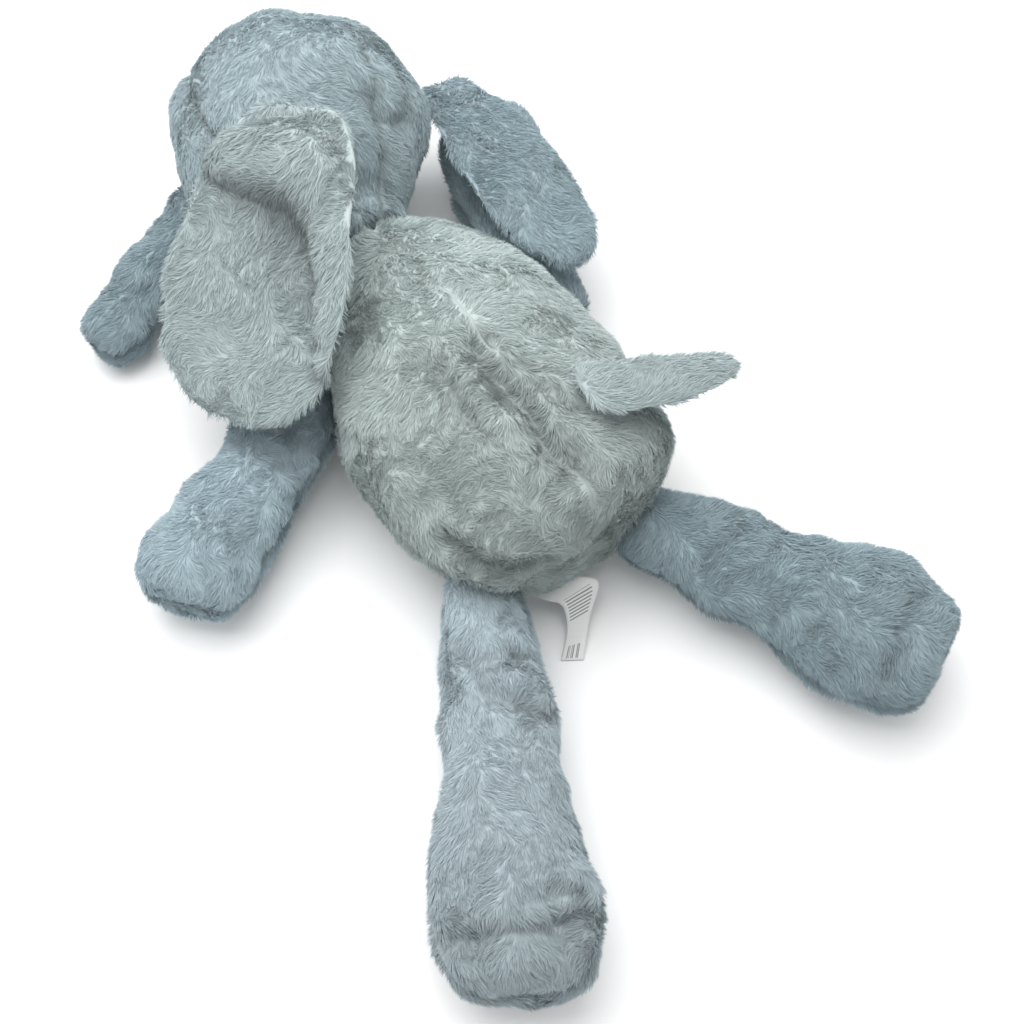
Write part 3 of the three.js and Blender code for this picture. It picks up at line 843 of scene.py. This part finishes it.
class ELEPHANT_OT_head(bpy.types.Operator):
    """Build the head: two back panels, two face panels, the wadding and the knot at the crown"""

    bl_idname = "elephant.head"
    bl_label = "Head"

    def execute(self, context):
        colours = context.scene.elephant_colours
        middle, axes, half_width, height, half_depth = head_frame()
        scale = np.array([half_width, height, half_depth])

        def line(*shares):
            return [in_world(scale * np.array(share), middle, axes) for share in shares]

        trunk_root, _, _, trunk_radius, *_ = limb_sizes("trunk", "trunk_swing")
        knot = middle_of("crown_knot")
        tilt = 6.5  # the ear seam stands behind the middle
        look = {
            "seed": 21,
            "material": "Blue-grey plush",
            "colour": colours.head,
            "slot": "blue_grey_plush",
            "sockets": [(trunk_root, trunk_radius)],
            "seams": (0.9, 1.1, 0.9, 0.6),
            "folds": [
                (line((-0.1, -0.30, 0.84), (0.08, -0.36, 0.7), (0.3, -0.33, 0.72)), 0.005, 0.010),
                (line((0.2, 0.1, 0.95), (0.3, -0.08, 0.96), (0.27, -0.22, 0.85)), 0.0035, 0.012),
                (line((0.0, 0.40, 0.5), (-0.08, 0.36, 0.62), (-0.14, 0.3, 0.7)), 0.0035, 0.006),
            ],
            "bumps": [(knot, -0.008, 0.012), (line((-0.45, 0.12, 0.75))[0], 0.006, 0.06)],
            "bare": [(middle_of("eye_left"), 0.013), (middle_of("eye_right"), 0.013)],
            "comb": {"wander": 0.7, "swirl": 0.12, "lift": 0.28, "heading": math.pi, "length": 0.92},
        }
        panels = [
            ("head_back_right", tilt, 90, 36),
            ("head_back_left", 90, 180 - tilt, 36),
            ("head_face_left", 180 - tilt, 270, 36),
            ("head_face_right", 270, 360 + tilt, 36),
        ]
        stuffed_part("head", panels, "head_stuffing", head_surface, look)
        crown_knot(knot, unit(knot - middle))
        return {"FINISHED"}


def tube(path, radius, sides):
    """A closed tube along a closed path: a circle carried round it, square to its direction."""
    along = unit(np.roll(path, -1, axis=0) - np.roll(path, 1, axis=0))
    side = unit(np.cross(along, UP + 0.01))
    above = np.cross(side, along)
    angle = np.linspace(0, TURN, sides, endpoint=False)
    ring = np.cos(angle)[None, :, None] * side[:, None] + np.sin(angle)[None, :, None] * above[:, None]
    points = path[:, None] + radius * ring
    index = np.arange(points.shape[0] * sides).reshape(-1, sides)
    right, down = np.roll(index, -1, axis=1), np.roll(index, -1, axis=0)
    both = np.roll(down, -1, axis=1)
    quads = np.stack([index, right, both, down], axis=-1).reshape(-1, 4)
    return points.reshape(-1, 3), quads


def crown_knot(place, out):
    """Thread drawn into a knot: a tube along (sin t + 2 sin 2t, cos t - 2 cos 2t, -sin 3t)."""
    t = np.linspace(0, TURN, 90, endpoint=False)
    loops = np.stack([np.sin(t) + 2 * np.sin(2 * t), np.cos(t) - 2 * np.cos(2 * t), -np.sin(3 * t)], axis=1)
    axes = axes_along(out, np.array([1.0, 0.0, 0.0]))
    path = place + 0.0016 * loops[:, [0, 2, 1]] @ axes - out * 0.002
    points, quads = tube(path, 0.0011, 8)
    first, triangles = triangles_of(points, quads)
    colour = tuple(bpy.context.scene.elephant_colours.thread)
    thread = speckled("Knot thread", colour, 1500.0, 0.3, 0.8, 0.0004)
    made = mesh_piece("crown_knot_thread", points[first], triangles, len(triangles), thread)
    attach(made, "head")
    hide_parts("crown_knot")


# ---------------------------------------------------------------- trunk and legs


def limb_sizes(body, joint):
    """A limb's root, axes, length, root radius, end radius and flatness, from its solids."""
    root, along, length = reach(body, joint)
    axes = axes_along(along, np.cross(along, UP))
    corners = local(corners_of(*NODES_OF[body]), root, axes)
    far = corners[corners[:, 1] > 0.7 * length]
    end = np.abs(far[:, 0]).max()
    return root, axes, length, -corners[:, 1].min(), end, np.abs(far[:, 2]).max() / end


def limb_surface(body, joint):
    """A limb's profile turned about its own axis: a round root, a slim upper part and a full round end."""
    root, axes, length, radius, end, flat = limb_sizes(body, joint)

    def surface(angles):
        outline = [
            (0, -radius),
            (radius * 0.72, -radius * 0.68),
            (radius, 0),
            (radius * 0.62 + end * 0.38, length * 0.42),
            (end * 0.95, length * 0.66),
            (end, length * 0.81),
            (end * 0.78, length * 0.945),
            (end * 0.40, length * 0.992),
            (0, length),
        ]
        grid = turned(outline, angles, 80, 1.0)
        tall = flat + (1 - flat) * np.clip(1 - grid[..., 1] / (0.3 * length), 0, 1)
        grid[..., 2] = grid[..., 2] * tall
        return in_world(grid, root, axes)

    return surface


LIMBS = {
    "trunk": {
        "joint": "trunk_swing", "panels": ("upper", "under"), "colour": "shade", "seed": 31,
        "folds": [(((-0.5, 0.62, 0.8), (0.1, 0.66, 1.0), (0.6, 0.62, 0.8)), 0.003, 0.006)],
    },
    "foreleg_left": {
        "joint": "foreleg_left_swing", "panels": ("outer", "inner"), "colour": "arm", "seed": 41,
        "folds": [(((-0.8, 0.36, 0.5), (-0.2, 0.38, 0.9), (0.3, 0.36, 0.9)), 0.003, 0.007)],
        "bumps": [((-0.95, 0.30, 0.1), 0.007, 0.022)],
        "comb": {"wander": 0.9, "lift": 0.38},
    },
    "foreleg_right": {
        "joint": "foreleg_right_swing", "panels": ("outer", "inner"), "colour": "shade", "seed": 51,
    },
    "hind_leg_left": {
        "joint": "hind_leg_left_lift", "panels": ("outer", "inner"), "colour": "leg", "seed": 61,
        # painted shade: darker towards the foot, by up to 0.5
        "turn": 14, "shade": 0.5,
        "folds": [
            (((0.5, 0.17, 0.7), (0.0, 0.20, 0.8), (-0.6, 0.17, 0.6)), 0.0045, 0.008),
            (((0.2, 0.27, 0.8), (-0.2, 0.30, 0.8), (-0.8, 0.33, 0.4)), 0.0045, 0.008),
            (((0.9, 0.86, 0.5), (0.3, 0.88, 0.9), (-0.3, 0.875, 0.95), (-0.9, 0.83, 0.5)), 0.0065, 0.008),
            (((0.0, 0.82, 1.0), (-0.4, 0.80, 0.95), (-0.9, 0.79, 0.6)), 0.004, 0.006),
        ],
        "bumps": [((-0.78, 0.26, 0.25), 0.008, 0.024)],
    },
    "hind_leg_right": {
        "joint": "hind_leg_right_lift", "panels": ("outer", "inner"), "colour": "shade", "seed": 71,
        "turn": -10,
        "folds": [
            (((0.7, 0.86, 0.6), (0.0, 0.84, 1.0), (-0.5, 0.87, 0.9)), 0.0045, 0.008),
            (((0.6, 0.2, 0.7), (0.0, 0.24, 0.9), (-0.5, 0.2, 0.7)), 0.0035, 0.008),
        ],
        "bumps": [((-0.75, 0.93, 0.3), -0.006, 0.018)],
        "comb": {"wander": 0.8, "lift": 0.40},
    },
}


class ELEPHANT_OT_limbs(bpy.types.Operator):
    """Build the trunk and the four legs, each of two panels and wadding"""

    bl_idname = "elephant.limbs"
    bl_label = "Trunk and legs"

    def execute(self, context):
        colours = context.scene.elephant_colours
        names = {
            # the shaded copy is painted shade
            "shade": "Shaded blue-grey plush",
            "arm": "Soft blue-grey plush",
            "leg": "Pale blue-grey plush",
        }
        for body, limb in LIMBS.items():
            root, axes, length, _, end, flat = limb_sizes(body, limb["joint"])
            scale = np.array([end, length, end * flat])

            def spot(share):
                return in_world(scale * np.array(share), root, axes)

            folds = [([spot(p) for p in line], depth, width) for line, depth, width in limb.get("folds", ())]
            look = {
                "seed": limb["seed"],
                "material": names[limb["colour"]],
                "colour": getattr(colours, limb["colour"]),
                "slot": "blue_grey_plush",
                "seams": (1.0, 1.0),
                "folds": folds,
                # painted shade from the root to the foot, by the limb's shade (none unless given)
                "shade": (spot((0, 0, 0)), spot((0, 1, 0)), limb.get("shade", 0)),
                "bumps": [(spot(p), height, spread) for p, height, spread in limb.get("bumps", ())],
                "comb": {"wander": 0.65, "swirl": 0.08, "lift": 0.33, **limb.get("comb", {})},
            }
            turn = limb.get("turn", 0)
            upper, under = (f"{body}_{panel}" for panel in limb["panels"])
            panels = [(upper, turn, 180 - turn, 40), (under, 180 - turn, 360 + turn, 40)]
            stuffed_part(body, panels, f"{body}_stuffing", limb_surface(body, limb["joint"]), look)
        return {"FINISHED"}


# ---------------------------------------------------------------- ears and tail


def flap_frame(body, joint):
    """A flap's root, axes, length, half width and thickness, from its solids. It hinges about its X."""
    root, along, length = reach(body, joint)
    axes = axes_along(along, np.array(JOINTS[joint]["axis"]))
    corners = local(corners_of(*NODES_OF[body]), root, axes)
    return root, axes, length, np.abs(corners[:, 0]).max(), np.abs(corners[:, 2]).max()


def flap_surface(body, joint, outline, shape):
    """A leaf: its middle surface is (r cos a, y, shape(x, y)) with the outline's radius r, and each side
    stands off it by h sin a, square to it, with h smaller where the leaf is narrow."""
    root, axes, length, half_width, half_thick = flap_frame(body, joint)
    lie = bpy.context.scene.elephant_sizes.lie

    def surface(angles):
        profile = [(radius * (half_width - lie), along * (length - lie)) for radius, along in outline]
        grid = turned(profile, angles, 84, 1.0)
        radius = np.hypot(grid[..., 0], grid[..., 2])
        x, y = grid[..., 0], grid[..., 1]
        step = 0.002

        def height(x, y):
            return shape(x, y, half_width, length)

        slope_x = (height(x + step, y) - height(x - step, y)) / (2 * step)
        slope_y = (height(x, y + step) - height(x, y - step)) / (2 * step)
        square = unit(np.stack([-slope_x, -slope_y, np.ones_like(x)], axis=2))
        middle = np.stack([x, y, height(x, y)], axis=2)
        sine = np.sin(angles)[:, None]
        stand = (half_thick - lie) * np.sqrt(radius / half_width) * np.sign(sine) * np.abs(sine) ** 0.8
        return in_world(middle + square * stand[..., None], root, axes)

    return surface


EAR_OUTLINE = [
    (0, -0.05), (0.42, -0.03), (0.70, 0.10), (0.93, 0.36),
    (1.0, 0.6), (0.82, 0.85), (0.44, 0.975), (0, 1.0),
]
TAIL_OUTLINE = [(0, -0.06), (0.72, -0.01), (0.98, 0.18), (0.86, 0.48), (0.64, 0.80), (0.42, 0.95), (0, 1.0)]
# the middle of the rolled rim, as (across, along, half width) in metres
EAR_ROLL = [
    (0.058, 0.044, 0.012), (0.036, 0.036, 0.023), (0.002, 0.036, 0.030), (-0.033, 0.044, 0.030),
    (-0.062, 0.074, 0.026), (-0.080, 0.112, 0.026), (-0.090, 0.160, 0.022), (-0.090, 0.205, 0.014),
]
FULL_ROLL = 0.027  # a roll this wide stands at its full height


def roll_gap(x, y):
    """Distance from the middle of the rolled rim, in half widths of the roll, and the roll's width there."""
    roll = through(EAR_ROLL, np.linspace(0, 1, 60))
    gaps = np.hypot(x[..., None] - roll[:, 0], y[..., None] - roll[:, 1]) / roll[:, 2]
    nearest = gaps.argmin(axis=-1)
    return gaps.min(axis=-1), roll[nearest, 2]


def ear_painted_shade(points):
    """Painted shade where the rolled rim shades the cup: 0.8 exp(-((g-1.25)/0.38)^2) at the distance g
    from the roll, on its inner side, and 0.5 exp(-(d/0.04)^2) at the distance d from the cup's upper middle."""
    x, y = points[..., 0], points[..., 1]
    inside = np.exp(-(((roll_gap(x, y)[0] - 1.25) / 0.38) ** 2)) * (y + 0.35 * x > 0.03)
    return 0.8 * inside + 0.5 * np.exp(-(((x + 0.02) ** 2 + (y - 0.1) ** 2) / 0.04**2))


def left_ear_shape(x, y, half_width, length):
    """A cup 1 - (x/w)^2 - ((y-0.56l)/(0.52l))^2, with a rounded ridge 3r^2 - 2r^3 along the rolled rim,
    where r falls from 1 to 0 across the roll, a hollow beside the ridge and a drooping tip."""
    sizes = bpy.context.scene.elephant_sizes
    gap, width = roll_gap(x, y)
    ridge = np.clip((1.35 - gap) / 0.9, 0, 1)
    ridge = ridge**2 * (3 - 2 * ridge) * np.minimum(width / FULL_ROLL, 1)
    cup = np.clip(1 - (x / half_width) ** 2 - ((y - 0.56 * length) / (0.52 * length)) ** 2, 0, 1)
    hollow = np.exp(-(((x + 0.022) ** 2 + (y - 0.092) ** 2) / 0.030**2))
    tip = 0.010 * np.clip((y / length - 0.75) / 0.25, 0, 1) ** 2
    return sizes.ear_fold * ridge - sizes.ear_cup * (cup + 0.5 * hollow) - tip


def right_ear_shape(x, y, half_width, length):
    """An arch (1 - (x/w)^2) sin(pi y/l), with a shallow trough exp(-(x/s)^2) down the middle."""
    arch = (1 - (x / half_width) ** 2) * np.sin(np.clip(y / length, 0, 1) * math.pi)
    trough = np.exp(-((x / 0.016) ** 2))
    return 0.016 * arch - 0.006 * trough


def tail_shape(x, y, half_width, length):
    """Lifted towards its tip by (y/l)^3, with its sides curled down by (x/w)^2."""
    return 0.016 * np.clip(y / length, 0, 1) ** 3 - 0.006 * (x / half_width) ** 2


FLAPS = {
    "ear_left": {
        "joint": "ear_left_flap", "panels": ("outer", "inner"), "seed": 81, "outline": EAR_OUTLINE,
        # painted shade in the cup under the rolled rim
        "shape": left_ear_shape, "valley": ear_painted_shade,
        "material": "Light mint plush", "colour": "ear", "slot": "mint_plush",
        "comb": {"wander": 0.8, "lift": 0.38, "swirl": 0.09},
    },
    "ear_right": {
        "joint": "ear_right_flap", "panels": ("outer", "inner"), "seed": 91, "outline": EAR_OUTLINE,
        "shape": right_ear_shape,
        # the shaded copy is painted shade
        "material": "Shaded blue-grey plush", "colour": "shade", "slot": "blue_grey_plush",
        "comb": {"wander": 0.6, "lift": 0.3, "swirl": 0.1},
    },
    "tail": {
        "joint": "tail_lift", "panels": ("upper", "under"), "seed": 101, "outline": TAIL_OUTLINE,
        "shape": tail_shape,
        "material": "Light mint plush", "colour": "ear", "slot": "mint_plush",
        "comb": {"wander": 0.5, "lift": 0.34, "swirl": 0.06, "length": 0.9},
    },
}


class ELEPHANT_OT_flaps(bpy.types.Operator):
    """Build both ears and the tail, each of two panels sewn round their edge"""

    bl_idname = "elephant.flaps"
    bl_label = "Ears and tail"

    def execute(self, context):
        sizes, colours = context.scene.elephant_sizes, context.scene.elephant_colours
        for body, flap in FLAPS.items():
            upper, under = (f"{body}_{panel}" for panel in flap["panels"])
            panels = [(upper, 0, 180, 60), (under, 180, 360, 60)]
            angles, firsts = seam_angles(panels)
            root, axes, *_ = flap_frame(body, flap["joint"])
            grid = flap_surface(body, flap["joint"], flap["outline"], flap["shape"])(angles)
            grid[-1] = grid[0]
            out = normals_of(grid)
            grid = grid + out * (0.6 * sizes.lump * waves(grid, flap["seed"], 0.07))[..., None]
            grid[-1] = grid[0]
            out = normals_of(grid)
            material = plush_material(flap["material"], getattr(colours, flap["colour"]))
            for k, (name, *_) in enumerate(panels):
                span = slice(firsts[k], firsts[k + 1] + 1)
                keep = np.ones(grid[span].shape[:2])
                # painted shade under the rolled rim, on the ear's upper panel only
                shaded = "valley" in flap and name == upper
                valley = flap["valley"](local(grid[span], root, axes)) if shaded else 0 * keep
                panel = grid[span], out[span], keep, valley
                seed = flap["seed"] * 10 + k
                plush_panel(name, body, *panel, material, flap["slot"], seed, flap["comb"], UNFILLED)
        return {"FINISHED"}


# ---------------------------------------------------------------- label and inner parts


class ELEPHANT_OT_label(bpy.types.Operator):
    """Build the satin label that is sewn in between the hind legs"""

    bl_idname = "elephant.label"
    bl_label = "Label"

    def execute(self, context):
        root = np.array(JOINTS["label_lift"]["pos_m"])
        # the ribbon's two edges, from the seam, out to the toy's right, and round and down to the floor
        left_edge = [
            (-0.021, 0.016, 0.010), (-0.010, 0.003, 0.009), (-0.001, -0.006, 0.004),
            (-0.006, -0.0225, -0.010), (-0.0245, -0.0405, -0.0225),
        ]
        right_edge = [
            (0.010, 0.020, 0.016), (0.025, 0.005, 0.018), (0.037, -0.008, 0.012),
            (0.017, -0.025, -0.008), (-0.007, -0.051, -0.0225),
        ]
        shares = np.linspace(0, 1, 60)
        left, right = root + through(left_edge, shares), root + through(right_edge, shares)
        across = np.linspace(0, 1, 14)[:, None, None]
        grid = left * (1 - across) + right * across
        grid[..., 2] = np.maximum(grid[..., 2], 0.0012)
        out = unit(np.cross(np.gradient(grid, axis=1), np.gradient(grid, axis=0)))
        shell_points, quads, places = shell(grid, out, 0.0003)
        first, triangles = triangles_of(shell_points, quads)
        ribbon = mesh_piece(
            "sewn_label_ribbon",
            shell_points[first],
            triangles,
            len(triangles),
            satin_material(),
            places=places[first],
        )
        ribbon.data.uv_layers[0].name = "Ribbon"
        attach(ribbon, "label")
        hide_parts("sewn_label")
        return {"FINISHED"}


class ELEPHANT_OT_inner_parts(bpy.types.Operator):
    """Finish the eyes and the lock washers behind them"""

    bl_idname = "elephant.inner_parts"
    bl_label = "Eyes and washers"

    def execute(self, context):
        colours = context.scene.elephant_colours
        eye = speckled("Eye plastic", tuple(colours.eye), 90.0, 0.15, 0.08, 0.00005)
        eye.node_tree.nodes["Principled BSDF"].inputs["Coat Weight"].default_value = 0.6
        washer = speckled("Washer plastic", tuple(colours.washer), 400.0, 0.05, 0.45, 0.0001)
        for side in ("left", "right"):
            for name, material in ((f"eye_{side}", eye), (f"eye_washer_{side}", washer)):
                slots = frame["nodes"][name].data.materials
                slots.clear()
                slots.append(material)
        return {"FINISHED"}


# ---------------------------------------------------------------- the stage


class ELEPHANT_OT_stage(bpy.types.Operator):
    """Set up the pale floor, the soft light and the camera"""

    bl_idname = "elephant.stage"
    bl_label = "Stage"

    def execute(self, context):
        stage = context.scene.elephant_stage
        aim = np.array(stage.aim)
        away = np.array([
            math.sin(stage.azimuth) * math.cos(stage.elevation),
            -math.cos(stage.azimuth) * math.cos(stage.elevation),
            math.sin(stage.elevation),
        ])
        right = np.array([math.cos(stage.azimuth), math.sin(stage.azimuth), 0.0])
        above = np.cross(away, right)

        def facing(thing, place):
            """Stand a light or camera at a place, looking at the aim."""
            back = unit(place - aim)
            side = unit(np.cross(above, back))
            turn = np.eye(4)
            turn[:3, :3] = np.column_stack([side, np.cross(back, side), back])
            turn[:3, 3] = place
            thing.matrix_world = Matrix(turn.tolist())

        camera = bpy.data.objects.new("Camera", bpy.data.cameras.new("Camera"))
        camera.data.lens = stage.lens
        context.scene.collection.objects.link(camera)
        facing(camera, aim + stage.distance * away)
        context.scene.camera = camera

        lamp = bpy.data.lights.new("Key light", "AREA")
        lamp.energy = stage.key_light
        lamp.size = LAMP_SIZE
        light = bpy.data.objects.new("Key light", lamp)
        context.scene.collection.objects.link(light)
        facing(light, aim + LAMP_DISTANCE * unit(np.array(LAMP_WAY) @ [away, right, above]))

        world = bpy.data.worlds.new("Studio")
        world.use_nodes = True
        world.node_tree.nodes["Background"].inputs["Color"].default_value = (1, 1, 1, 1)
        world.node_tree.nodes["Background"].inputs["Strength"].default_value = stage.sky
        context.scene.world = world
        context.scene.view_settings.view_transform = "Standard"

        half = FLOOR_HALF
        corners = np.array([(-half, -half, 0), (half, -half, 0), (half, half, 0), (-half, half, 0)])
        pale = speckled("Pale floor", (0.97, 0.97, 0.97), 3.0, 0.004, 0.9, 0.0)
        floor = mesh_piece("floor", corners, np.array([(0, 1, 2), (0, 2, 3)]), 0, pale)
        return {"FINISHED"}


OPERATORS = (
    ELEPHANT_OT_stage,
    ELEPHANT_OT_torso,
    ELEPHANT_OT_head,
    ELEPHANT_OT_limbs,
    ELEPHANT_OT_flaps,
    ELEPHANT_OT_label,
    ELEPHANT_OT_inner_parts,
)


class ELEPHANT_PT_parts(bpy.types.Panel):
    """Sizes, colours and the parts to build"""

    bl_label = "Plush Elephant"
    bl_idname = "ELEPHANT_PT_parts"
    bl_space_type = "VIEW_3D"
    bl_region_type = "UI"
    bl_category = "Plush Elephant"

    def draw(self, context):
        scene = context.scene
        for group in (scene.elephant_sizes, scene.elephant_colours, scene.elephant_stage):
            box = self.layout.box()
            for name in group.__annotations__:
                box.prop(group, name)
        for operator in OPERATORS:
            self.layout.operator(operator.bl_idname)


CLASSES = (ElephantSizes, ElephantColours, ElephantStage, *OPERATORS, ELEPHANT_PT_parts)


def register():
    for one in CLASSES:
        bpy.utils.register_class(one)
    bpy.types.Scene.elephant_sizes = bpy.props.PointerProperty(type=ElephantSizes)
    bpy.types.Scene.elephant_colours = bpy.props.PointerProperty(type=ElephantColours)
    bpy.types.Scene.elephant_stage = bpy.props.PointerProperty(type=ElephantStage)


def unregister():
    del bpy.types.Scene.elephant_stage
    del bpy.types.Scene.elephant_colours
    del bpy.types.Scene.elephant_sizes
    for one in reversed(CLASSES):
        bpy.utils.unregister_class(one)


def main():
    register()
    bpy.ops.elephant.stage()
    bpy.ops.elephant.torso()
    bpy.ops.elephant.head()
    bpy.ops.elephant.limbs()
    bpy.ops.elephant.flaps()
    bpy.ops.elephant.label()
    bpy.ops.elephant.inner_parts()


if __name__ == "__main__":
    main()
